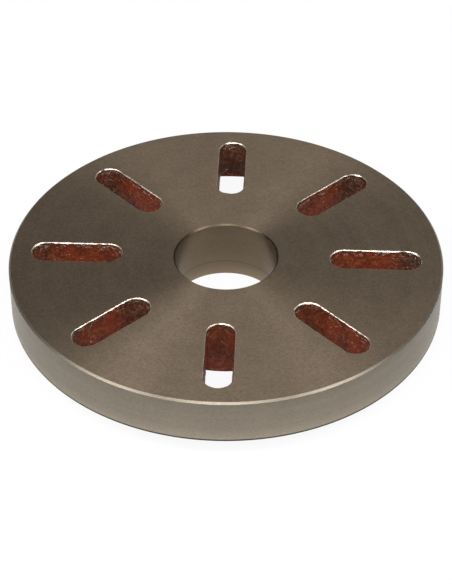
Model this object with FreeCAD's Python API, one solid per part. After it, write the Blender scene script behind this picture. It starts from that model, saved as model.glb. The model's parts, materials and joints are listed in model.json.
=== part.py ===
import FreeCAD, Part
import math
import os

# Lathe faceplate: one grey-iron casting. Its working face is up, and the seating face of
# its hub is on z = 0 with the bore along +Z. Eight radial slots take the clamping bolts.
# The back is relieved between hub and rim, and the hub has the short taper and the stud
# holes by which the plate is held on a camlock spindle nose.

# Disc and rim
plate_diameter = 254.0
overall_depth = 39.0          # seating face of the hub to the working face
rim_depth = 28.5              # working face to the back edge of the rim
rim_wall = 10.5               # thickness of the rim at its back edge
web_thickness = 21.5          # plate between hub and rim
face_chamfer = 1.1            # outer edge of the working face
rim_chamfer = 0.6             # outer edge of the rim's back
rim_inner_chamfer = 0.8       # inner edge of the rim's back

# Hub
hub_diameter = 117.5          # at the seating face
hub_chamfer = 1.0
cast_draft = 2.0              # degrees, on the cast walls of the relief
relief_fillet = 1.5           # in the two corners of the relief

# Bore and spindle nose
bore_diameter = 60.0
bore_edge_break = 0.8         # at the working face
nose_taper_diameter = 63.513  # large end of the short taper
nose_taper_angle = 7.125      # degrees a side
nose_taper_depth = 11.0
nose_mouth_chamfer = 0.5

# Camlock stud holes, and the holes of the screws that lock the studs
stud_count = 3
stud_circle_diameter = 82.55
stud_hole_diameter = 10.0
stud_hole_depth = 24.0
stud_hole_chamfer = 0.8
stud_start_angle = 90.0       # degrees from +X to the first stud
lock_hole_diameter = 6.0
lock_hole_depth = 18.0
lock_seat_diameter = 10.5     # counterbore for the head
lock_seat_depth = 6.5
lock_hole_offset = 13.5       # centre to centre from its stud, along the stud circle
drill_point_angle = 118.0     # degrees, at the bottom of the blind holes

# Slots
slot_count = 8
slot_width = 16.5
slot_edge_break = 0.7         # filed edge at the working face
hub_to_slot = 2.5             # hub wall at the seating face to the inner end of a slot
slot_to_rim = 2.3             # outer end of a slot to the rim wall at the back edge

# Room by which a cutting solid runs past the surface that it opens
cut_past = 2.0

# Worked out from the sizes above
plate_radius = plate_diameter / 2
rim_back = overall_depth - rim_depth
web_back = overall_depth - web_thickness
hub_radius = hub_diameter / 2
rim_inner_radius = plate_radius - rim_wall
draft_slope = math.tan(math.radians(cast_draft))
hub_root_radius = hub_radius + (web_back - hub_chamfer) * draft_slope
rim_root_radius = rim_inner_radius - (web_back - rim_back - rim_inner_chamfer) * draft_slope
bore_radius = bore_diameter / 2
nose_radius = nose_taper_diameter / 2
nose_slope = math.tan(math.radians(nose_taper_angle))
slot_radius = slot_width / 2
slot_inner_end = hub_radius + hub_to_slot
slot_outer_end = rim_inner_radius - slot_to_rim
top = overall_depth

axis_start = FreeCAD.Vector(0, 0, 0)
axis_up = FreeCAD.Vector(0, 0, 1)


def spun(points):
    """Solid made by spinning an outline of (radius, height) points about the axis."""
    corners = [FreeCAD.Vector(radius, 0, height) for radius, height in points]
    face = Part.Face(Part.makePolygon(corners + corners[:1]))
    return face.revolve(axis_start, axis_up, 360)


def casting():
    """Disc, rim and hub in one, with the relief between the drafted walls of the back."""
    body = spun([
        (0, 0),
        (hub_radius - hub_chamfer, 0),
        (hub_radius, hub_chamfer),
        (hub_root_radius, web_back),
        (rim_root_radius, web_back),
        (rim_inner_radius, rim_back + rim_inner_chamfer),
        (rim_inner_radius + rim_inner_chamfer, rim_back),
        (plate_radius - rim_chamfer, rim_back),
        (plate_radius, rim_back + rim_chamfer),
        (plate_radius, top - face_chamfer),
        (plate_radius - face_chamfer, top),
        (0, top),
    ])
    corners = [edge for edge in body.Edges if edge.BoundBox.ZLength < 0.001
               and abs(edge.BoundBox.ZMin - web_back) < 0.001]
    return body.makeFillet(relief_fillet, corners)


def bore():
    """Through bore with its broken front edge, and the short taper of the nose behind."""
    return spun([
        (0, -cut_past),
        (nose_radius + nose_mouth_chamfer + cut_past, -cut_past),
        (nose_radius + nose_mouth_chamfer, 0),
        (nose_radius - nose_mouth_chamfer * nose_slope, nose_mouth_chamfer),
        (nose_radius - nose_taper_depth * nose_slope, nose_taper_depth),
        (bore_radius, nose_taper_depth),
        (bore_radius, top - bore_edge_break),
        (bore_radius + bore_edge_break + cut_past, top + cut_past),
        (0, top + cut_past),
    ])


def slot_outline(grow, height):
    """Round-ended outline of the slot on +X, grown evenly, as a wire at a height."""
    half = slot_radius + grow
    near = slot_inner_end + slot_radius
    far = slot_outer_end - slot_radius

    def at(x, y):
        return FreeCAD.Vector(x, y, height)

    return Part.Wire([
        Part.LineSegment(at(near, -half), at(far, -half)).toShape(),
        Part.Arc(at(far, -half), at(far + half, 0), at(far, half)).toShape(),
        Part.LineSegment(at(far, half), at(near, half)).toShape(),
        Part.Arc(at(near, half), at(near - half, 0), at(near, -half)).toShape(),
    ])


def slots():
    """All the bolt slots, each with a filed edge at the working face."""
    depth = web_thickness + cut_past
    through = Part.Face(slot_outline(0, top - depth)).extrude(axis_up * (depth + cut_past))
    filed = Part.makeLoft([
        slot_outline(0, top - slot_edge_break),
        slot_outline(slot_edge_break + cut_past, top + cut_past),
    ], True, True)
    one = through.fuse(filed)
    turned = []
    for number in range(slot_count):
        copy = one.copy()
        copy.rotate(axis_start, axis_up, number * 360 / slot_count)
        turned.append(copy)
    return turned


def blind_hole(diameter, depth, mouth):
    """Drilled hole up from the seating face, with its drill point and a mouth chamfer."""
    radius = diameter / 2
    point = radius / math.tan(math.radians(drill_point_angle / 2))
    return spun([
        (0, -cut_past),
        (radius + mouth + cut_past, -cut_past),
        (radius, mouth),
        (radius, depth),
        (0, depth + point),
    ])


def stud_holes():
    """Stud holes, each with the counterbored hole of its locking screw beside it."""
    circle = stud_circle_diameter / 2
    stud = blind_hole(stud_hole_diameter, stud_hole_depth, stud_hole_chamfer)
    lock = blind_hole(lock_hole_diameter, lock_hole_depth, 0)
    seat = Part.makeCylinder(lock_seat_diameter / 2, lock_seat_depth + cut_past,
                             FreeCAD.Vector(0, 0, -cut_past))
    lock = lock.common(Part.makeCylinder(lock_hole_diameter / 2, top)).fuse(seat)
    aside = math.degrees(2 * math.asin(lock_hole_offset / 2 / circle))
    holes = []
    for number in range(stud_count):
        angle = stud_start_angle + number * 360 / stud_count
        for hole, turn in ((stud, angle), (lock, angle + aside)):
            copy = hole.copy()
            copy.translate(FreeCAD.Vector(circle, 0, 0))
            copy.rotate(axis_start, axis_up, turn)
            holes.append(copy)
    return holes


def faceplate():
    """The whole casting, machined."""
    body = casting()
    for cutter in [bore()] + slots() + stud_holes():
        body = body.cut(cutter)
    return body.removeSplitter()


os.makedirs("parts", exist_ok=True)
plate = faceplate()
print("faceplate: solids", len(plate.Solids), "valid", plate.isValid(), plate.BoundBox)
plate.exportStep("parts/faceplate.step")
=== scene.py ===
import json
import math

import bmesh
import bpy
from bpy.props import FloatProperty, FloatVectorProperty, IntProperty, PointerProperty
from bpy.types import Operator, Panel, PropertyGroup
from mathutils import Matrix, Vector, noise


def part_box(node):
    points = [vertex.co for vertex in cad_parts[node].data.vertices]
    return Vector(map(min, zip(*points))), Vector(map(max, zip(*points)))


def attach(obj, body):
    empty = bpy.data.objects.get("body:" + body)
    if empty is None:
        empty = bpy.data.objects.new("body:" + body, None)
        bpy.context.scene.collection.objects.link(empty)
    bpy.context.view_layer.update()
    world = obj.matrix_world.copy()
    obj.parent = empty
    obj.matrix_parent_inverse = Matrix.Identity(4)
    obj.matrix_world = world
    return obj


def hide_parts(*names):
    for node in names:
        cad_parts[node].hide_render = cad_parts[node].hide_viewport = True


bl_info = {
    "name": "Lathe Faceplate",
    "version": (1, 0, 0),
    "blender": (4, 5, 0),
    "location": "View3D > Sidebar > Faceplate",
    "description": "Slotted lathe faceplate, turned bright on a red-oxide painted casting",
    "category": "Mesh",
}

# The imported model: every size that it states is taken from it.
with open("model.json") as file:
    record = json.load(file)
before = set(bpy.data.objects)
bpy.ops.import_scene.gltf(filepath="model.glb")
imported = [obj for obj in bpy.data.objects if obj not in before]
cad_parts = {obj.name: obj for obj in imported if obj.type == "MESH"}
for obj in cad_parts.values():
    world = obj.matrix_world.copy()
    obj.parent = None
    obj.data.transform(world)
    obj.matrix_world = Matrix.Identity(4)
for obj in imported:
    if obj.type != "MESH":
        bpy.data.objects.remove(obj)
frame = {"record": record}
CAD_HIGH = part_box("faceplate")[1]
MOUNTS = {mount["name"]: mount["dims"] for mount in frame["record"]["mounts"]}
MM = 0.001
BORE = MOUNTS["centre_bore"]
SLOTS = MOUNTS["slots_on_x"]
STUDS = MOUNTS["camlock_studs"]
LOCKS = MOUNTS["stud_lock_screws"]

AXIS = Vector((0, 0, 1))
ORIGIN = Vector((0, 0, 0))

# The surfaces of the plate, in the order of its material slots.
FACE, RIM, BORED, FILED, PAINTED = range(5)

# How a point of the casting is moved by its roughness.
STILL, WALL, BREAK_LINE, SHOULDER, MOUTH_LINE, RELIEF = range(6)


# ---------------------------------------------------------------- settings

def length(name, default, description):
    """A size in metres."""
    return FloatProperty(name=name, default=default, description=description,
                         unit="LENGTH", precision=5)


def colour(name, default, description):
    """A colour in linear light."""
    return FloatVectorProperty(name=name, default=default, description=description,
                               subtype="COLOR", size=3, min=0, max=1)


class FaceplateSizes(PropertyGroup):
    plate_radius: length("Plate radius", CAD_HIGH.x, "Outer radius of the rim")
    face_height: length("Face height", CAD_HIGH.z, "Seat of the hub to the working face")
    rim_depth: length("Rim depth", 28.5 * MM, "Working face to the back of the rim")
    rim_wall: length("Rim wall", 10.5 * MM, "Thickness of the rim at its back edge")
    web: length("Web", 21.5 * MM, "Thickness of the plate between hub and rim")
    face_chamfer: length("Face chamfer", 1.1 * MM, "Outer edge of the working face")
    rim_chamfer: length("Rim chamfer", 0.6 * MM, "Outer edge of the rim's back")
    rim_inner_chamfer: length("Inner chamfer", 0.8 * MM, "Inner edge of the rim's back")
    hub_radius: length("Hub radius", 58.75 * MM, "Hub at its seating face")
    hub_chamfer: length("Hub chamfer", 1.0 * MM, "Edge of the seating face")
    draft: FloatProperty(name="Draft", default=math.radians(2), subtype="ANGLE",
                         description="Slope of the cast walls")
    root_fillet: length("Root fillet", 1.5 * MM, "Corners at the foot of the cast walls")
    bore_radius: length("Bore radius", BORE["r_mm"] * MM, "Through bore")
    bore_break: length("Bore edge", 0.8 * MM, "Broken edge of the bore at the face")
    nose_radius: length("Nose radius", 31.7565 * MM, "Large end of the short taper")
    nose_angle: FloatProperty(name="Nose angle", default=math.radians(7.125),
                              subtype="ANGLE", description="Taper a side")
    nose_depth: length("Nose depth", 11 * MM, "Length of the short taper")
    nose_mouth: length("Nose mouth", 0.5 * MM, "Chamfer at the mouth of the taper")
    slot_radius: length("Slot radius", SLOTS["hole_r_mm"] * MM, "Half the slot's width")
    slot_length: length("Slot length", SLOTS["slot_length_mm"] * MM, "End to end")
    slot_circle: length("Slot circle", SLOTS["spacing_x_mm"] * MM / 2,
                        "Axis to the middle of a slot")
    slot_break: length("Slot edge", 0.7 * MM, "Filed edge of a slot at the face")
    stud_circle: length("Stud circle", STUDS["pcd_mm"] * MM / 2, "Axis to a stud hole")
    stud_radius: length("Stud hole", STUDS["hole_r_mm"] * MM, "Radius of a stud hole")
    stud_depth: length("Stud depth", 24 * MM, "Depth of a stud hole")
    stud_pitch: length("Stud pitch", 1.5 * MM, "Thread of a stud hole")
    stud_chamfer: length("Stud chamfer", 0.8 * MM, "Mouth of a stud hole")
    lock_radius: length("Lock hole", LOCKS["hole_r_mm"] * MM, "Radius of a lock hole")
    lock_depth: length("Lock depth", 18 * MM, "Depth of a lock hole")
    lock_pitch: length("Lock pitch", 1.0 * MM, "Thread of a lock hole")
    lock_seat: length("Lock seat", 5.25 * MM, "Radius of the seat for the lock's head")
    lock_seat_depth: length("Lock seat depth", 6.5 * MM, "Depth of that seat")
    lock_offset: length("Lock offset", 13.5 * MM, "Lock hole to its stud hole")
    lump_height: length("Lumps", 0.3 * MM, "Height of the lumps in the sand-cast skin")
    slot_count: IntProperty(name="Slots", default=8, min=3, description="Slots around")
    stud_count: IntProperty(name="Studs", default=STUDS["count"], min=1,
                            description="Stud holes around")


class FaceplateColours(PropertyGroup):
    face: colour("Face", (0.33, 0.254, 0.182), "Turned working face")
    rim: colour("Rim", (0.268, 0.232, 0.183), "Turned rim")
    bore: colour("Bore", (0.28, 0.217, 0.144), "Bored hole and ground seat")
    filed: colour("Filed edges", (0.76, 0.66, 0.57), "Filed edges of the slots")
    paint: colour("Paint", (0.185, 0.028, 0.009), "Red-oxide paint")
    paint_deep: colour("Deep paint", (0.10, 0.018, 0.008), "Paint where it lies thick")
    paint_worn: colour("Worn paint", (0.20, 0.066, 0.024), "Thin paint on the lumps")
    # The two grime colours also paint the shade where the slots' walls meet the relief on the back.
    grime_and_shade: colour("Grime", (0.036, 0.019, 0.011), "Oily dirt where paint has gone")
    grime_and_shade_pale: colour("Pale grime", (0.100, 0.068, 0.042), "Dusty iron on the lumps")


class FaceplateStudio(PropertyGroup):
    lens: FloatProperty(name="Lens", default=123.45, description="Focal length in mm")
    elevation: FloatProperty(name="Elevation", default=math.radians(39.66),
                             subtype="ANGLE", description="Camera above the face")
    turn: FloatProperty(name="Turn", default=math.radians(2.379), subtype="ANGLE",
                        description="Camera round the axis from the front")
    distance: length("Distance", 1.148, "Camera to the point that it looks at")
    aim: length("Aim", 0.0331, "How far in front of the axis the camera looks")
    floor_size: length("Floor", 12.0, "Radius of the floor")


# ---------------------------------------------------------------- outlines

# Faces along the stretches of the outlines.
FILLET_STEPS = 4
WALL_STEPS = 6                    # rim, foot of the rim and bore
HUB_STEPS = 14
TAPER_STEPS = 3


def fillet(corner, before, after, radius, steps):
    """Points of the arc that rounds a corner of an outline of (radius, height) points."""
    back = (before - corner).normalized()
    on = (after - corner).normalized()
    half = back.angle(on) / 2
    centre = corner + (back + on).normalized() * radius / math.sin(half)
    first = corner + back * radius / math.tan(half)
    sweep = math.pi - 2 * half
    if (first - centre).cross(on) < 0:
        sweep = -sweep
    arc = []
    for step in range(steps + 1):
        arc.append(centre + Matrix.Rotation(sweep * step / steps, 2) @ (first - centre))
    return arc


def divided(start, end, steps):
    """Points from start to end, both included, in even steps."""
    return [start.lerp(end, step / steps) for step in range(steps + 1)]


def rim_profile(sizes):
    """Stretches of outline from the working face, round the rim, to the web's back."""
    top = sizes.face_height
    back = top - sizes.rim_depth
    web_back = top - sizes.web
    radius = sizes.plate_radius
    inner = radius - sizes.rim_wall
    foot = back + sizes.rim_inner_chamfer
    root = Vector((inner - (web_back - foot) * math.tan(sizes.draft), web_back))
    chamfer_foot = Vector((radius, top - sizes.face_chamfer))
    rim_foot = Vector((radius, back + sizes.rim_chamfer))
    inner_foot = Vector((inner, foot))
    corner = fillet(root, inner_foot, root - Vector((1, 0)), sizes.root_fillet,
                    FILLET_STEPS)
    return [
        ([Vector((radius - sizes.face_chamfer, top)), chamfer_foot], RIM, STILL),
        (divided(chamfer_foot, rim_foot, WALL_STEPS), RIM, STILL),
        ([rim_foot, Vector((radius - sizes.rim_chamfer, back)),
          Vector((inner + sizes.rim_inner_chamfer, back)), inner_foot], RIM, STILL),
        (divided(inner_foot, corner[0], WALL_STEPS), PAINTED, RELIEF),
        (corner, PAINTED, RELIEF),
    ]


def hub_profile(sizes):
    """Stretches of outline from the seating face, up the hub, to the web's back."""
    web_back = sizes.face_height - sizes.web
    foot = Vector((sizes.hub_radius, sizes.hub_chamfer))
    rise = web_back - sizes.hub_chamfer
    root = Vector((sizes.hub_radius + rise * math.tan(sizes.draft), web_back))
    corner = fillet(root, foot, root + Vector((1, 0)), sizes.root_fillet,
                    FILLET_STEPS)
    return [
        ([Vector((sizes.hub_radius - sizes.hub_chamfer, 0)), foot], BORED, STILL),
        (divided(foot, corner[0], HUB_STEPS), PAINTED, RELIEF),
        (corner, PAINTED, RELIEF),
    ]


def bore_profile(sizes):
    """Stretches of outline from the working face, down the bore, to the seating face."""
    top = sizes.face_height
    radius = sizes.bore_radius
    slope = math.tan(sizes.nose_angle)
    step = Vector((sizes.nose_radius - sizes.nose_depth * slope, sizes.nose_depth))
    mouth = Vector((sizes.nose_radius - sizes.nose_mouth * slope, sizes.nose_mouth))
    edge = Vector((radius, top - sizes.bore_break))
    shoulder = Vector((radius, sizes.nose_depth))
    return [
        ([Vector((radius + sizes.bore_break, top)), edge], BORED, STILL),
        (divided(edge, shoulder, WALL_STEPS), BORED, STILL),
        ([shoulder, step], BORED, STILL),
        (divided(step, mouth, TAPER_STEPS), BORED, STILL),
        ([mouth, Vector((sizes.nose_radius + sizes.nose_mouth, 0))], BORED, STILL),
    ]


# ---------------------------------------------------------------- mesh

CORE_DRAFT = 0.75 * MM            # by which a slot narrows a side towards the back
CORE_LEAN = Vector((-0.6, 0, 0)) * MM    # how the sand cores of the slots leaned
ARC_STEP = math.radians(1.25)     # between the points on every circle about the axis
SIDE_STEPS = 56                   # points along each straight side of a slot
HOLE_SIDE_STEPS = 6               # the same for the cell of a drilled hole
WALL_ROWS = 27                    # rows of faces up the wall of a slot
WEB_SHARES = (0.3, 0.6, 0.85)     # rows between the edge of the web's back and a slot
FACE_SHARES = (0.12, 0.4, 0.7, 1)     # rows between a slot's mouth and the face's edge
SEAT_SHARES = (0.5, 0.8, 1)       # rows between the edge of a cell and a drilled hole
SHOULDER_SHARE = 0.41             # of the filed edge's width, where its two flats meet
LIP_DEPTH = 4 * MM                # depth of the chipped lip below the filed edge
MERGE_DISTANCE = 0.01 * MM
SHARP_ANGLE = math.radians(32)

# Drilled and threaded holes
THREAD_ROWS = 4                   # rows of faces to a turn of thread
THREAD_CREST = 0.54               # height of a thread as a share of its pitch
THREADED_SHARE = 0.8              # of a hole's drilled depth
THREAD_RUNOUT = 0.5 * MM          # from the last turn to the plain hole
LOCK_LEAD = 0.4 * MM              # chamfer where a lock hole's thread starts
POINT_RISE = 0.54                 # height of a drill point as a share of its radius
POINT_TIP = 0.1                   # blunt tip of it, likewise
STUD_CELL_STEPS = 18              # arc steps across a hole's share of the seating face
STUD_SPLIT_STEPS = 8              # from a stud hole to the edge of its share

# Sand-cast skin: how fine each kind of lump is, where its pattern starts, and its height.
LUMP_KINDS = ((110, (0, 0, 0), 0.55), (330, (7, 3, 1), 0.55), (900, (2, 9, 4), 0.25))

# Width of the filed edges as a share of the full width
LEAST_FILED = 0.2
MEAN_FILED = 0.66
FILED_RIPPLE = 0.15
FILED_BLOB = 0.75                 # more or less of it round the ends of the slots
FILED_AT_ENDS = 0.1
RIPPLE_FINENESS = 700
BLOB_FINENESS = 240

# How soiled the paint is at the inner and the outer end of each slot, from the slot on +X
# round to the left, and in the middle of them all.
SOIL = ((0.25, 0.75), (0.50, 0.75), (0.50, 0.80), (0.10, 0.60),
        (0.40, 0.50), (0.70, 0.45), (0.42, 0.30), (0.50, 0.12))
MIDDLE_SOIL = 0.1
RELIEF_SOIL = -0.2                # on the relief of the back: less grime than in the slots, and paint half as bright again
SOIL_RISE = 1.6                   # how steeply soil grows towards the ends


def new_unit():
    """An empty mesh with the layers that the casting's roughness and paint are read from."""
    unit = bmesh.new()
    unit.verts.layers.int.new("station")
    unit.verts.layers.int.new("moves")
    unit.verts.layers.float.new("soil")
    unit.verts.layers.float.new("lip")
    return unit


def sweep(unit, points, finish, moves, start, angle):
    """Spin an outline of (radius, height) points about the axis through an angle."""
    kind = unit.verts.layers.int["moves"]
    turned = Matrix.Rotation(start, 3, AXIS)
    chain = [unit.verts.new(turned @ Vector((point.x, 0, point.y))) for point in points]
    edges = [unit.edges.new(pair) for pair in zip(chain, chain[1:])]
    for vert in chain:
        vert[kind] = moves
    before = len(unit.faces)
    bmesh.ops.spin(unit, geom=chain + edges, cent=ORIGIN, axis=AXIS, angle=angle,
                   steps=round(angle / ARC_STEP), use_merge=False)
    unit.faces.ensure_lookup_table()
    for face in unit.faces[before:]:
        face.material_index = finish


def sleeve(unit, rows):
    """Join rings of points, all with as many points, from the first row to the last.

    A row is its points, the finish of the faces that lead to it, how roughness moves it
    and its share of the lip below a slot's edge.
    """
    station = unit.verts.layers.int["station"]
    kind = unit.verts.layers.int["moves"]
    lip = unit.verts.layers.float["lip"]
    ring = bmesh.ops.create_circle(unit, segments=len(rows[0][0]), radius=1)["verts"]
    for number, vert in enumerate(ring):
        vert[station] = number
    edges = list({edge for vert in ring for edge in vert.link_edges})
    for number, (points, finish, moves, lip_share) in enumerate(rows):
        if number:
            made = bmesh.ops.extrude_edge_only(unit, edges=edges)["geom"]
            ring = [item for item in made if isinstance(item, bmesh.types.BMVert)]
            on_ring = set(ring)
            edges = [item for item in made if isinstance(item, bmesh.types.BMEdge)
                     and on_ring.issuperset(item.verts)]
            for face in (item for item in made if isinstance(item, bmesh.types.BMFace)):
                face.material_index = finish
        for vert in ring:
            vert.co = points[vert[station]]
            vert[kind] = moves
            vert[lip] = lip_share


def cell_outline(inner, outer, start, end, side_steps, height):
    """Outline of a piece of a ring between two angles, from its outer arc's start."""
    arc_steps = round((end - start) / ARC_STEP)
    points = []
    for step in range(arc_steps):
        points.append((outer, start + (end - start) * step / arc_steps))
    for step in range(side_steps):
        points.append((outer + (inner - outer) * step / side_steps, end))
    for step in range(arc_steps):
        points.append((inner, end + (start - end) * step / arc_steps))
    for step in range(side_steps):
        points.append((inner + (outer - inner) * step / side_steps, start))
    return [Vector((radius * math.cos(angle), radius * math.sin(angle), height))
            for radius, angle in points]


def slot_outline(sizes, grow, height):
    """Round-ended outline of the slot on +X, point for point with its cell's outline."""
    radius = sizes.slot_radius + grow
    reach = sizes.slot_length / 2 - sizes.slot_radius
    near = sizes.slot_circle - reach
    far = sizes.slot_circle + reach
    arc_steps = round(math.tau / sizes.slot_count / ARC_STEP)
    points = []
    for step in range(arc_steps):
        angle = math.pi * (step / arc_steps - 0.5)
        points.append((far + radius * math.cos(angle), radius * math.sin(angle)))
    for step in range(SIDE_STEPS):
        points.append((far + (near - far) * step / SIDE_STEPS, radius))
    for step in range(arc_steps):
        angle = math.pi * (step / arc_steps + 0.5)
        points.append((near + radius * math.cos(angle), radius * math.sin(angle)))
    for step in range(SIDE_STEPS):
        points.append((near + (far - near) * step / SIDE_STEPS, -radius))
    return [Vector((x, y, height)) for x, y in points]


def between(first, last, share):
    """Row of points a share of the way from one row to another."""
    return [one.lerp(other, share) for one, other in zip(first, last)]


def slot_rows(sizes):
    """Rows of points from the web's back, up the wall of a slot, and out over the face."""
    top = sizes.face_height
    back = top - sizes.web
    half = math.pi / sizes.slot_count
    hub_edge = hub_profile(sizes)[-1][0][-1].x
    rim_edge = rim_profile(sizes)[-1][0][-1].x
    under = cell_outline(hub_edge, rim_edge, -half, half, SIDE_STEPS, back)
    over = cell_outline(sizes.bore_radius + sizes.bore_break,
                        sizes.plate_radius - sizes.face_chamfer,
                        -half, half, SIDE_STEPS, top)
    shoulder = SHOULDER_SHARE * sizes.slot_break
    line = top - sizes.slot_break
    foot = slot_outline(sizes, 0, back)
    rows = [(under, PAINTED, STILL, 0)]
    for share in WEB_SHARES:
        rows.append((between(under, foot, share), PAINTED, RELIEF, 0))
    rows.append((foot, PAINTED, WALL, 0))
    for number in range(1, WALL_ROWS):
        height = back + (line - back) * number / WALL_ROWS
        lip_share = max(0, 1 - (line - height) / LIP_DEPTH)
        rows.append((slot_outline(sizes, 0, height), PAINTED, WALL, lip_share))
    rows.append((slot_outline(sizes, 0, line), PAINTED, BREAK_LINE, 1))
    rows.append((slot_outline(sizes, shoulder, top - shoulder), FILED, SHOULDER, 0))
    mouth = slot_outline(sizes, sizes.slot_break, top)
    rows.append((mouth, FILED, MOUTH_LINE, 0))
    for share in FACE_SHARES:
        rows.append((between(mouth, over, share), FACE, STILL, 0))
    return rows


def slot_sector(sizes):
    """One slot with its share of the web, rim, hub and bore."""
    angle = math.tau / sizes.slot_count
    unit = new_unit()
    sleeve(unit, slot_rows(sizes))
    for profile in (rim_profile(sizes), hub_profile(sizes), bore_profile(sizes)):
        for points, finish, moves in profile:
            sweep(unit, points, finish, moves, -angle / 2, angle)
    return unit


def round_hole(circle, angle, radius, height, stations, thread=None):
    """Ring of points round a hole whose middle is at an angle on a circle."""
    middle = Vector((circle * math.cos(angle), circle * math.sin(angle), height))
    points = []
    for number in range(stations):
        turn = angle + math.tau * number / stations - math.pi / 2
        reach = radius
        if thread:
            pitch, crest = thread
            reach -= crest * abs(2 * ((height / pitch + number / stations) % 1) - 1)
        points.append(middle + Vector((math.cos(turn), math.sin(turn), 0)) * reach)
    return points


def hole_rows(cell, hole):
    """Rows of points from a cell of the seating face to the end of a hole's steps."""
    circle, angle, steps = hole
    stations = len(cell)
    first = round_hole(circle, angle, steps[0][0], 0, stations)
    rows = [(cell, BORED, STILL, 0)]
    for share in SEAT_SHARES:
        rows.append((between(cell, first, share), BORED, STILL, 0))
    for radius, height, thread in steps[1:]:
        ring = round_hole(circle, angle, radius, height, stations, thread)
        rows.append((ring, BORED, STILL, 0))
    return rows


def threaded(radius, start, end, pitch):
    """Steps of a threaded stretch, a few rows of faces to each turn."""
    crest = THREAD_CREST * pitch
    rows = round((end - start) / pitch * THREAD_ROWS)
    return [(radius, start + (end - start) * row / rows, (pitch, crest))
            for row in range(rows + 1)]


def stud_steps(sizes):
    """Stud hole: chamfer, thread, plain end and drill point."""
    radius = sizes.stud_radius
    depth = sizes.stud_depth
    thread_end = depth * THREADED_SHARE
    steps = [(radius + sizes.stud_chamfer, 0, None)]
    steps += threaded(radius, sizes.stud_chamfer, thread_end, sizes.stud_pitch)
    drilled = radius - THREAD_CREST * sizes.stud_pitch
    steps += [(drilled, thread_end + THREAD_RUNOUT, None), (drilled, depth, None)]
    steps += [(drilled * POINT_TIP, depth + drilled * POINT_RISE, None)]
    return steps


def lock_steps(sizes):
    """Lock hole: counterbore, thread, plain end and drill point."""
    radius = sizes.lock_radius
    depth = sizes.lock_depth
    seat = sizes.lock_seat_depth
    thread_end = seat + (depth - seat) * THREADED_SHARE
    steps = [(sizes.lock_seat, 0, None), (sizes.lock_seat, seat, None)]
    steps += [(radius + LOCK_LEAD, seat, None)]
    steps += threaded(radius, seat + LOCK_LEAD, thread_end, sizes.lock_pitch)
    drilled = radius - THREAD_CREST * sizes.lock_pitch
    steps += [(drilled, thread_end + THREAD_RUNOUT, None), (drilled, depth, None)]
    steps += [(drilled * POINT_TIP, depth + drilled * POINT_RISE, None)]
    return steps


def seat_sector(sizes):
    """A third of the seating face, with one stud hole and the lock hole beside it."""
    inner = sizes.nose_radius + sizes.nose_mouth
    outer = sizes.hub_radius - sizes.hub_chamfer
    circle = sizes.stud_circle
    stud = math.pi / 2
    aside = 2 * math.asin(sizes.lock_offset / 2 / circle)
    split = stud + STUD_SPLIT_STEPS * ARC_STEP
    width = STUD_CELL_STEPS * ARC_STEP
    unit = new_unit()
    for start, angle, steps in ((split - width, stud, stud_steps(sizes)),
                                (split, stud + aside, lock_steps(sizes))):
        cell = cell_outline(inner, outer, start, start + width, HOLE_SIDE_STEPS, 0)
        sleeve(unit, hole_rows(cell, (circle, angle, steps)))
    plain = divided(Vector((inner, 0)), Vector((outer, 0)), HOLE_SIDE_STEPS)
    rest = math.tau / sizes.stud_count - 2 * width
    sweep(unit, plain, BORED, STILL, split + width, rest)
    return unit


def add_turned(body, unit, count):
    """Copy a unit round the axis to make the full turn, and add it to the body."""
    angle = math.tau / count
    bmesh.ops.spin(unit, geom=unit.verts[:] + unit.edges[:] + unit.faces[:],
                   cent=ORIGIN, axis=AXIS, angle=angle * (count - 1), steps=count - 1,
                   use_duplicate=True)
    carrier = bpy.data.meshes.new("carrier")
    unit.to_mesh(carrier)
    unit.free()
    body.from_mesh(carrier)
    bpy.data.meshes.remove(carrier)


def slot_place(sizes, point):
    """Way out of the nearest slot at a point of its wall, how far round its end, and soil."""
    step = math.tau / sizes.slot_count
    number = round(math.atan2(point.y, point.x) / step)
    turn = Matrix.Rotation(number * step, 3, AXIS)
    local = turn.inverted() @ point
    reach = sizes.slot_length / 2 - sizes.slot_radius
    along = local.x - sizes.slot_circle
    on_line = max(-reach, min(reach, along))
    out = Vector((along - on_line, local.y, 0)).normalized()
    inner, outer = SOIL[number % len(SOIL)]
    nearness = max(0, min(1, SOIL_RISE * (abs(along) / reach - 1) + 1))
    soil = MIDDLE_SOIL + ((inner if along < 0 else outer) - MIDDLE_SOIL) * nearness
    return turn @ out, abs(out.x), soil


def lumps(point):
    """Height of the sand-cast skin at a point, from about -1 to 1."""
    return sum(share * noise.noise(point * fineness + Vector(start))
               for fineness, start, share in LUMP_KINDS)


def filed_share(point, end_share):
    """Width of the filed edge at a point, as a share of its full width."""
    blob = noise.noise(Vector((point.x, point.y, 0)) * BLOB_FINENESS)
    ripple = noise.noise(Vector((point.x, point.y, 1)) * RIPPLE_FINENESS)
    at_end = end_share * (FILED_BLOB * blob + FILED_AT_ENDS)
    return max(LEAST_FILED, MEAN_FILED + FILED_RIPPLE * ripple + at_end)


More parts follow.
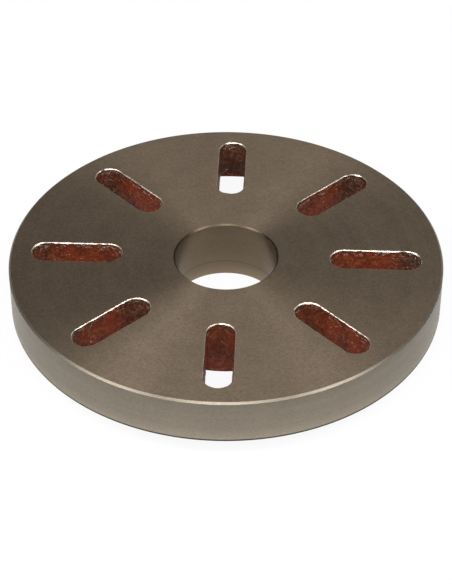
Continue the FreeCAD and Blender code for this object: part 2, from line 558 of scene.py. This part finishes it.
def roughen(body, sizes):
    """Give the cast walls their lumps, and the filed edges their uneven width."""
    kind = body.verts.layers.int["moves"]
    soil_layer = body.verts.layers.float["soil"]
    height = sizes.lump_height
    body.normal_update()
    moved = {}
    for vert in body.verts:
        moves = vert[kind]
        if moves == STILL:
            continue
        point = vert.co.copy()
        if moves == RELIEF:
            moved[vert] = point + vert.normal * height * lumps(point)
            vert[soil_layer] = RELIEF_SOIL
            continue
        out, end_share, vert[soil_layer] = slot_place(sizes, point)
        thinner = sizes.slot_break * (1 - filed_share(point, end_share))
        inward = height * lumps(point)
        if moves == MOUTH_LINE:
            moved[vert] = point - out * thinner
        elif moves == SHOULDER:
            moved[vert] = point + (AXIS - out) * thinner / 2
        elif moves == BREAK_LINE:
            moved[vert] = point + AXIS * thinner - (out + AXIS) * inward
        else:
            depth = (sizes.face_height - point.z) / sizes.web
            leaning = CORE_LEAN * depth - out * CORE_DRAFT * depth
            moved[vert] = point - out * inward + leaning
    for vert, place in moved.items():
        vert.co = place


def plate_mesh(sizes):
    """The whole plate as one closed mesh."""
    body = new_unit()
    add_turned(body, slot_sector(sizes), sizes.slot_count)
    add_turned(body, seat_sector(sizes), sizes.stud_count)
    bmesh.ops.remove_doubles(body, verts=body.verts, dist=MERGE_DISTANCE)
    open_edges = [edge for edge in body.edges if edge.is_boundary]
    bmesh.ops.holes_fill(body, edges=open_edges, sides=0)
    bmesh.ops.recalc_face_normals(body, faces=body.faces)
    roughen(body, sizes)
    body.normal_update()
    for face in body.faces:
        face.smooth = True
    for edge in body.edges:
        one_finish = len({face.material_index for face in edge.link_faces}) == 1
        edge.smooth = one_finish and edge.calc_face_angle(0) < SHARP_ANGLE
    mesh = bpy.data.meshes.new("faceplate_mesh")
    body.to_mesh(mesh)
    body.free()
    return mesh


# ---------------------------------------------------------------- finishes

# Nearly all of a noise lies between these values, and is stretched out from them.
NOISE_LOW = 0.35
NOISE_HIGH = 0.65
MARK_TONES = 0.09                 # how much the rings of the tool differ in shade

def node(tree, kind, inputs=None, **settings):
    """A node with its settings, and its inputs set to values or joined to sockets."""
    made = tree.nodes.new(kind)
    for name, value in settings.items():
        setattr(made, name, value)
    for name, value in (inputs or {}).items():
        if isinstance(value, bpy.types.NodeSocket):
            tree.links.new(value, made.inputs[name])
        else:
            made.inputs[name].default_value = value
    return made


def maths(tree, operation, first, second=0.0, third=0.0):
    """Result of a Math node."""
    return node(tree, "ShaderNodeMath", {0: first, 1: second, 2: third},
                operation=operation).outputs[0]


def noise_value(tree, place, scale, detail=2.0, roughness=0.5):
    """Value of a noise at a place."""
    made = node(tree, "ShaderNodeTexNoise",
                {"Vector": place, "Scale": scale, "Detail": detail, "Roughness": roughness})
    return made.outputs["Fac"]


def spread(tree, value, low, high, to_low=0.0, to_high=1.0):
    """Stretch a value from one range to another, held at the ends."""
    made = node(tree, "ShaderNodeMapRange",
                {"Value": value, "From Min": low, "From Max": high,
                 "To Min": to_low, "To Max": to_high})
    return made.outputs["Result"]


def tone_by_height(tree, height, stops):
    """Painted shade that follows the height, from stops of (height, shade)."""
    low = stops[0][0]
    reach = stops[-1][0] - low
    ramp = node(tree, "ShaderNodeValToRGB", {"Fac": spread(tree, height, low, low + reach)})
    elements = ramp.color_ramp.elements
    elements.remove(elements[1])
    for number, (place, tone) in enumerate(stops):
        element = elements.new((place - low) / reach) if number else elements[0]
        element.color = opaque((tone, tone, tone))
    return ramp.outputs["Color"]


def blend_colours(tree, share, first, second, blend_type="MIX"):
    """Two colours mixed by a share. The Mix node keeps its colours in sockets 6, 7 and 2."""
    made = node(tree, "ShaderNodeMix", data_type="RGBA", blend_type=blend_type)
    for name, value in ((0, share), (6, first), (7, second)):
        if isinstance(value, bpy.types.NodeSocket):
            tree.links.new(value, made.inputs[name])
        else:
            made.inputs[name].default_value = value
    return made.outputs[2]


def opaque(rgb):
    """A colour with full cover."""
    return (rgb[0], rgb[1], rgb[2], 1)


def new_group(name, inputs, outputs):
    """An empty shader group with named float, vector or colour sockets."""
    group = bpy.data.node_groups.new(name, "ShaderNodeTree")
    for label, kind, default in inputs:
        socket = group.interface.new_socket(label, in_out="INPUT", socket_type=kind)
        if default is not None:
            socket.default_value = default
    for label, kind in outputs:
        group.interface.new_socket(label, in_out="OUTPUT", socket_type=kind)
    return group, group.nodes.new("NodeGroupInput"), group.nodes.new("NodeGroupOutput")


def turning_marks_group():
    """Marks that a lathe tool leaves: rings that differ in depth and shade."""
    group, given, result = new_group(
        "turning_marks",
        [("Across", "NodeSocketFloat", 0.0), ("Around", "NodeSocketFloat", 0.0),
         ("Feed", "NodeSocketFloat", 0.0006)],
        [("Height", "NodeSocketFloat"), ("Shade", "NodeSocketFloat")])
    rings = maths(group, "DIVIDE", given.outputs["Across"], given.outputs["Feed"])
    drift = maths(group, "MULTIPLY", given.outputs["Around"], 1.5)
    place = node(group, "ShaderNodeCombineXYZ", {"X": rings, "Y": drift}).outputs[0]
    fine = noise_value(group, place, 0.5, 3.0, 0.6)
    broad = noise_value(group, place, 0.06, 2.0)
    height = maths(group, "MULTIPLY_ADD", broad, 0.8, fine)
    shade = maths(group, "MULTIPLY_ADD", broad, 0.6, maths(group, "MULTIPLY", fine, 0.4))
    group.links.new(height, result.inputs["Height"])
    group.links.new(shade, result.inputs["Shade"])
    return group


def iron_grain_group():
    """Grey iron's fine open grain: dark specks, and soft patches of a fraction more shade."""
    group, given, result = new_group(
        "iron_grain",
        [("Vector", "NodeSocketVector", None), ("Size", "NodeSocketFloat", 0.0012)],
        [("Shade", "NodeSocketFloat"), ("Height", "NodeSocketFloat")])
    scale = maths(group, "DIVIDE", 1.0, given.outputs["Size"])
    grain = noise_value(group, given.outputs["Vector"], scale, 4.0, 0.65)
    coarse = maths(group, "MULTIPLY", scale, 0.08)
    patches = noise_value(group, given.outputs["Vector"], coarse, 3.0)
    shade = maths(group, "MULTIPLY_ADD", patches, 0.2, maths(group, "MULTIPLY", grain, 0.8))
    group.links.new(shade, result.inputs["Shade"])
    group.links.new(grain, result.inputs["Height"])
    return group


def shared_group(name, make):
    """A shader group, made the first time that it is asked for."""
    return bpy.data.node_groups.get(name) or make()


def new_material(name):
    """An empty material with its Principled shader joined to its output."""
    material = bpy.data.materials.new(name)
    material.use_nodes = True
    tree = material.node_tree
    tree.nodes.clear()
    shader = tree.nodes.new("ShaderNodeBsdfPrincipled")
    output = tree.nodes.new("ShaderNodeOutputMaterial")
    tree.links.new(shader.outputs["BSDF"], output.inputs["Surface"])
    return material, tree, shader


def place_group(tree, name, make):
    """A node that holds a shared shader group."""
    return node(tree, "ShaderNodeGroup", node_tree=shared_group(name, make))


def shaded(tree, rgb, shade):
    """A colour made lighter or darker by a value."""
    tint = node(tree, "ShaderNodeCombineColor", {"Red": shade, "Green": shade, "Blue": shade})
    return blend_colours(tree, 1.0, opaque(rgb), tint.outputs[0], "MULTIPLY")


def turned_iron(name, rgb, across, feed, roughness, anisotropic, depth, grain_tones, stops=()):
    """Iron turned in the lathe. The marks are rings about the axis.

    They lie side by side across the radius or the height, a feed apart. The stops are pairs of a
    height and the painted shade of the metal there.
    """
    material, tree, shader = new_material(name)
    place = tree.nodes.new("ShaderNodeTexCoord").outputs["Object"]
    x, y, z = node(tree, "ShaderNodeSeparateXYZ", {"Vector": place}).outputs
    flat = node(tree, "ShaderNodeCombineXYZ", {"X": x, "Y": y}).outputs[0]
    radius = node(tree, "ShaderNodeVectorMath", {0: flat}, operation="LENGTH").outputs["Value"]
    marks = place_group(tree, "turning_marks", turning_marks_group)
    tree.links.new(radius if across == "radius" else z, marks.inputs["Across"])
    tree.links.new(maths(tree, "ARCTAN2", y, x), marks.inputs["Around"])
    marks.inputs["Feed"].default_value = feed
    grain = place_group(tree, "iron_grain", iron_grain_group)
    tree.links.new(place, grain.inputs["Vector"])
    shade = maths(tree, "ADD",
                  spread(tree, marks.outputs["Shade"], 0.3, 0.7, -MARK_TONES, MARK_TONES),
                  spread(tree, grain.outputs["Shade"], NOISE_LOW, NOISE_HIGH,
                         1 - grain_tones, 1 + grain_tones))
    base = shaded(tree, rgb, shade)
    if stops:
        base = blend_colours(tree, 1.0, base, tone_by_height(tree, z, stops), "MULTIPLY")
    tree.links.new(base, shader.inputs["Base Color"])
    tree.links.new(spread(tree, marks.outputs["Shade"], NOISE_LOW, NOISE_HIGH,
                          roughness + 0.02, roughness - 0.02), shader.inputs["Roughness"])
    shader.inputs["Metallic"].default_value = 1.0
    shader.inputs["Anisotropic"].default_value = anisotropic
    shader.inputs["Anisotropic Rotation"].default_value = 0.25
    tangent = node(tree, "ShaderNodeTangent", direction_type="RADIAL", axis="Z")
    tree.links.new(tangent.outputs[0], shader.inputs["Tangent"])
    height = maths(tree, "MULTIPLY_ADD", grain.outputs["Height"], 0.3, marks.outputs["Height"])
    bump = node(tree, "ShaderNodeBump", {"Height": height, "Distance": depth, "Strength": 1.0})
    tree.links.new(bump.outputs[0], shader.inputs["Normal"])
    return material


def filed_iron(rgb):
    """Bright metal where a file has broken the edge, with a fine grain."""
    material, tree, shader = new_material("filed_edge")
    place = tree.nodes.new("ShaderNodeTexCoord").outputs["Object"]
    grain = place_group(tree, "iron_grain", iron_grain_group)
    tree.links.new(place, grain.inputs["Vector"])
    shade = spread(tree, grain.outputs["Shade"], NOISE_LOW, NOISE_HIGH, 0.6, 1.1)
    tree.links.new(shaded(tree, rgb, shade), shader.inputs["Base Color"])
    shader.inputs["Metallic"].default_value = 1.0
    tree.links.new(spread(tree, grain.outputs["Height"], 0.3, 0.7, 0.28, 0.5),
                   shader.inputs["Roughness"])
    bump = node(tree, "ShaderNodeBump",
                {"Height": grain.outputs["Height"], "Distance": 0.15 * MM, "Strength": 1.0})
    tree.links.new(bump.outputs[0], shader.inputs["Normal"])
    return material


def painted_casting(colours, web_back):
    """Red-oxide paint over a sand-cast skin: worn thin on lumps, soiled at the ends of the slots,
    darkened by painted shade where the slots meet the relief, and knocked through to metal a little
    below the filed edges, in specks that are partly painted highlights."""
    material, tree, shader = new_material("red_oxide_paint")
    place = tree.nodes.new("ShaderNodeTexCoord").outputs["Object"]
    soil = node(tree, "ShaderNodeAttribute", attribute_name="soil").outputs["Fac"]
    lip = node(tree, "ShaderNodeAttribute", attribute_name="lip").outputs["Fac"]
    height = node(tree, "ShaderNodeSeparateXYZ", {"Vector": place}).outputs["Z"]
    flattened = node(tree, "ShaderNodeVectorMath", {0: place, 1: (1, 1, 2.4)},
                     operation="MULTIPLY").outputs[0]
    clouds = spread(tree, noise_value(tree, place, 90.0, 3.0), NOISE_LOW, NOISE_HIGH)
    lump_noise = noise_value(tree, place, 420.0, 4.0, 0.65)
    lump_value = spread(tree, lump_noise, NOISE_LOW, NOISE_HIGH)
    sand = noise_value(tree, place, 1300.0, 3.0, 0.6)
    beads = noise_value(tree, flattened, 330.0, 1.0)
    coat = blend_colours(tree, spread(tree, clouds, 0.1, 0.7),
                         opaque(colours.paint_deep), opaque(colours.paint))
    coat = blend_colours(tree, spread(tree, lump_value, 0.55, 1.0),
                         coat, opaque(colours.paint_worn))
    # The paint of the relief is made half as bright again as in the slots.
    relief_paint_lift = spread(tree, soil, RELIEF_SOIL, 0.0, 1.5, 1.0)
    coat = node(tree, "ShaderNodeVectorMath", {0: coat, "Scale": relief_paint_lift},
                operation="SCALE").outputs[0]
    # Dirt follows the soil, more or less of it by the clouds.
    dirt = maths(tree, "MULTIPLY_ADD", clouds, 0.5, soil)
    dirt = maths(tree, "MULTIPLY_ADD", lump_value, -0.45, dirt)
    dirt = maths(tree, "MULTIPLY_ADD", lip, 0.25, dirt)
    # Painted shade: more of the grime colour in a band about the web's back, where the slots' walls
    # meet the relief, strongest right at it.
    corner_shade_above = spread(tree, height, web_back, web_back + 2 * MM, 0.3, 0.0)
    below = spread(tree, height, web_back - 4 * MM, web_back, 0.0, 1.0)
    dirt = maths(tree, "MULTIPLY_ADD", corner_shade_above, below, dirt)
    grime_and_shade_share = spread(tree, dirt, 0.30, 0.95, 0.0, 0.9)
    grime_and_shade = blend_colours(tree, spread(tree, lump_value, 0.3, 1.0),
                          opaque(colours.grime_and_shade), opaque(colours.grime_and_shade_pale))
    skin = blend_colours(tree, grime_and_shade_share, coat, grime_and_shade)
    # Strongest half-way down the lip.
    below_lip = maths(tree, "MULTIPLY", lip, maths(tree, "SUBTRACT", 1.0, lip))
    # Bright metal specks below the filed edge: partly paint chipped to bare metal, partly painted
    # highlights for the glints on the paint's lumps.
    chips_and_glints = maths(tree, "MULTIPLY_ADD", below_lip, 0.6, beads)
    chips_and_glints = maths(tree, "MULTIPLY_ADD", sand, 0.1, chips_and_glints)
    bare_metal_and_glints = spread(tree, chips_and_glints, 0.78, 0.84)
    skin = blend_colours(tree, bare_metal_and_glints, skin, opaque(colours.filed))
    tree.links.new(skin, shader.inputs["Base Color"])
    tree.links.new(bare_metal_and_glints, shader.inputs["Metallic"])
    tree.links.new(spread(tree, lump_value, 0.0, 1.0, 0.46, 0.28), shader.inputs["Roughness"])
    shader.inputs["Specular IOR Level"].default_value = 0.22
    relief = maths(tree, "MULTIPLY_ADD", lump_noise, 2.5, sand)
    bump = node(tree, "ShaderNodeBump", {"Height": relief, "Distance": 0.35 * MM, "Strength": 1.0})
    tree.links.new(bump.outputs[0], shader.inputs["Normal"])
    return material


def rim_painted_shading(sizes):
    """Painted shading up the rim: a dark back edge of painted shade, then painted light from the
    floor that grows duller and duller up to the bright chamfer.
    """
    top = sizes.face_height
    back = top - sizes.rim_depth
    chamfer = top - sizes.face_chamfer
    return ((back, 0.8), (back + 0.05 * MM, 0.10), (back + 1.3 * MM, 0.12),
            (back + 1.8 * MM, 0.96), ((back + top) / 2, 0.75), (chamfer - 0.1 * MM, 0.66),
            (chamfer, 0.95), (top, 0.95))


def bore_painted_shading(sizes):
    """Painted light and shade up the bore: bright at its mouth, with dark lines at the step and the
    edge.
    """
    step = sizes.nose_depth
    edge = sizes.face_height - sizes.bore_break
    return ((0, 1.0), (0.4 * step, 0.78), (0.75 * step, 0.60), (step - 0.5 * MM, 0.55),
            (step, 0.38), (step + MM, 0.55), (25 * MM, 0.62), (edge - 0.1 * MM, 0.82),
            (edge, 0.26), (sizes.face_height, 0.26))


def plate_finishes(colours, sizes):
    """The materials of the plate, in the order of FACE, RIM, BORED, FILED and PAINTED."""
    return [
        turned_iron("turned_face", colours.face, "radius", feed=0.6 * MM, roughness=0.42,
                    anisotropic=0.75, depth=0.02 * MM, grain_tones=0.20),
        turned_iron("turned_rim", colours.rim, "height", feed=0.5 * MM, roughness=0.42,
                    anisotropic=0.5, depth=0.02 * MM, grain_tones=0.12,
                    stops=rim_painted_shading(sizes)),
        turned_iron("bored_iron", colours.bore, "height", feed=0.5 * MM, roughness=0.36,
                    anisotropic=0.4, depth=0.02 * MM, grain_tones=0.10,
                    stops=bore_painted_shading(sizes)),
        filed_iron(colours.filed),
        painted_casting(colours, sizes.face_height - sizes.web),
    ]


# ---------------------------------------------------------------- stage

# Soft lamps: name, width and length, place, and power in watts.
LAMPS = (
    ("lamp_left", (0.6, 0.7), (-0.85, -0.42, 1.2), 14.5),
    ("lamp_right", (0.6, 0.7), (0.85, -0.42, 1.2), 13),
    ("lamp_middle", (0.4, 0.4), (0.0, -0.5, 0.8), 2.2),
    ("lamp_front", (1.0, 0.5), (0.0, -1.35, 1.45), 12),
    ("lamp_side", (0.4, 0.4), (0.5, 0.22, 0.55), 0.35),
    ("lamp_back", (0.6, 0.5), (0.35, 0.85, 0.6), 0.18),
)
ROOM_LIGHT = 0.20                 # strength of the light that the room gives the plate
WHITE_TO_EYE = 0.92               # how much of the floor shows as plain white
WHITE_IN_METAL = 0.3              # the same, as the plate reflects it

def floor_material():
    """Pale floor that shows white to the eye and in metal, and keeps a soft shadow."""
    material, tree, shader = new_material("pale_floor")
    place = tree.nodes.new("ShaderNodeTexCoord").outputs["Object"]
    tone = noise_value(tree, place, 3.0, 2.0)
    value = spread(tree, tone, 0.3, 0.7, 0.80, 0.84)
    tint = node(tree, "ShaderNodeCombineColor", {"Red": value, "Green": value, "Blue": value})
    tree.links.new(tint.outputs[0], shader.inputs["Base Color"])
    shader.inputs["Roughness"].default_value = 0.9
    glow = node(tree, "ShaderNodeEmission", {"Color": (1, 1, 1, 1), "Strength": 1.0})
    path = tree.nodes.new("ShaderNodeLightPath")
    in_metal = maths(tree, "MAXIMUM", path.outputs["Is Glossy Ray"],
                     path.outputs["Is Transmission Ray"])
    in_metal = maths(tree, "MULTIPLY", in_metal, WHITE_IN_METAL)
    to_eye = maths(tree, "MULTIPLY", path.outputs["Is Camera Ray"], WHITE_TO_EYE)
    share = maths(tree, "MAXIMUM", to_eye, in_metal)
    mixed = node(tree, "ShaderNodeMixShader",
                 {0: share, 1: shader.outputs[0], 2: glow.outputs[0]})
    clear = tree.nodes.new("ShaderNodeBsdfTransparent")
    below = tree.nodes.new("ShaderNodeNewGeometry").outputs["Backfacing"]
    under = maths(tree, "MULTIPLY", below, path.outputs["Is Camera Ray"])
    from_below = node(tree, "ShaderNodeMixShader",
                      {0: under, 1: mixed.outputs[0], 2: clear.outputs[0]})
    output = next(item for item in tree.nodes if item.type == "OUTPUT_MATERIAL")
    tree.links.new(from_below.outputs[0], output.inputs["Surface"])
    return material


def make_floor(studio):
    """Round pale floor under the plate."""
    grown = bmesh.new()
    bmesh.ops.create_circle(grown, cap_ends=True, segments=96, radius=studio.floor_size)
    mesh = bpy.data.meshes.new("floor_mesh")
    grown.to_mesh(mesh)
    grown.free()
    mesh.materials.append(floor_material())
    floor = bpy.data.objects.new("floor", mesh)
    bpy.context.scene.collection.objects.link(floor)


def make_lamp(name, size, place, power):
    """Soft rectangular lamp at a place, turned to the foot of the plate's axis."""
    light = bpy.data.lights.new(name, "AREA")
    light.shape = "RECTANGLE"
    light.size, light.size_y = size
    light.energy = power
    lamp = bpy.data.objects.new(name, light)
    lamp.visible_camera = False
    lamp.location = place
    lamp.rotation_euler = Vector(place).to_track_quat("Z", "Y").to_euler()
    bpy.context.scene.collection.objects.link(lamp)


def make_world():
    """Room that lights the plate gently and looks white to the eye."""
    world = bpy.data.worlds.new("studio")
    world.use_nodes = True
    tree = world.node_tree
    tree.nodes.clear()
    path = tree.nodes.new("ShaderNodeLightPath")
    room = node(tree, "ShaderNodeBackground", {"Color": (1, 0.99, 0.97, 1), "Strength": ROOM_LIGHT})
    white = node(tree, "ShaderNodeBackground", {"Color": (1, 1, 1, 1), "Strength": 1.0})
    mixed = node(tree, "ShaderNodeMixShader",
                 {0: path.outputs["Is Camera Ray"], 1: room.outputs[0], 2: white.outputs[0]})
    output = tree.nodes.new("ShaderNodeOutputWorld")
    tree.links.new(mixed.outputs[0], output.inputs["Surface"])
    bpy.context.scene.world = world


def make_camera(studio, sizes):
    """Camera in front of the plate, looking down at a point a little before its axis."""
    camera = bpy.data.cameras.new("camera")
    camera.sensor_width = 36
    camera.lens = studio.lens
    camera.clip_start = 0.05
    camera.clip_end = 100
    turned = Matrix.Rotation(studio.turn, 3, AXIS)
    aim = turned @ Vector((0, -studio.aim, sizes.face_height))
    back = turned @ Vector((0, -math.cos(studio.elevation), math.sin(studio.elevation)))
    made = bpy.data.objects.new("camera", camera)
    made.location = aim + back * studio.distance
    made.rotation_euler = (math.pi / 2 - studio.elevation, 0, studio.turn)
    bpy.context.scene.collection.objects.link(made)
    bpy.context.scene.camera = made


# ---------------------------------------------------------------- add-on

class FACEPLATE_OT_add_plate(Operator):
    """Make the faceplate with its turned, filed and painted surfaces"""
    bl_idname = "faceplate.add_plate"
    bl_label = "Faceplate"
    bl_options = {"REGISTER", "UNDO"}

    def execute(self, context):
        """Make the plate anew."""
        scene = context.scene
        mesh = plate_mesh(scene.faceplate_sizes)
        for finish in plate_finishes(scene.faceplate_colours, scene.faceplate_sizes):
            mesh.materials.append(finish)
        plate = bpy.data.objects.new("lathe_faceplate", mesh)
        scene.collection.objects.link(plate)
        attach(plate, "root")
        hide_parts("faceplate")
        return {"FINISHED"}


class FACEPLATE_OT_add_stage(Operator):
    """Make the pale floor, the soft lamps, the room and the camera"""
    bl_idname = "faceplate.add_stage"
    bl_label = "Stage"
    bl_options = {"REGISTER", "UNDO"}

    def execute(self, context):
        """Make the stage anew."""
        scene = context.scene
        make_floor(scene.faceplate_studio)
        for name, size, place, power in LAMPS:
            make_lamp(name, size, place, power)
        make_world()
        make_camera(scene.faceplate_studio, scene.faceplate_sizes)
        scene.view_settings.view_transform = "Standard"
        return {"FINISHED"}


class FACEPLATE_PT_sidebar(Panel):
    """Sizes, colours and steps of the faceplate"""
    bl_idname = "FACEPLATE_PT_sidebar"
    bl_label = "Lathe Faceplate"
    bl_space_type = "VIEW_3D"
    bl_region_type = "UI"
    bl_category = "Faceplate"

    def draw(self, context):
        """Lay out the settings and the buttons."""
        layout = self.layout
        for group in (context.scene.faceplate_sizes, context.scene.faceplate_colours,
                      context.scene.faceplate_studio):
            box = layout.box()
            for name in group.__annotations__:
                box.prop(group, name)
        layout.operator(FACEPLATE_OT_add_plate.bl_idname)
        layout.operator(FACEPLATE_OT_add_stage.bl_idname)


CLASSES = (FaceplateSizes, FaceplateColours, FaceplateStudio,
           FACEPLATE_OT_add_plate, FACEPLATE_OT_add_stage, FACEPLATE_PT_sidebar)


def register():
    """Add the classes, and the settings of the plate to the scene."""
    for item in CLASSES:
        bpy.utils.register_class(item)
    bpy.types.Scene.faceplate_sizes = PointerProperty(type=FaceplateSizes)
    bpy.types.Scene.faceplate_colours = PointerProperty(type=FaceplateColours)
    bpy.types.Scene.faceplate_studio = PointerProperty(type=FaceplateStudio)


def unregister():
    """Take the settings and the classes away again."""
    del bpy.types.Scene.faceplate_studio
    del bpy.types.Scene.faceplate_colours
    del bpy.types.Scene.faceplate_sizes
    for item in reversed(CLASSES):
        bpy.utils.unregister_class(item)


def main():
    """Make everything."""
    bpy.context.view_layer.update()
    register()
    bpy.ops.faceplate.add_plate()
    bpy.ops.faceplate.add_stage()


if __name__ == "__main__":
    main()
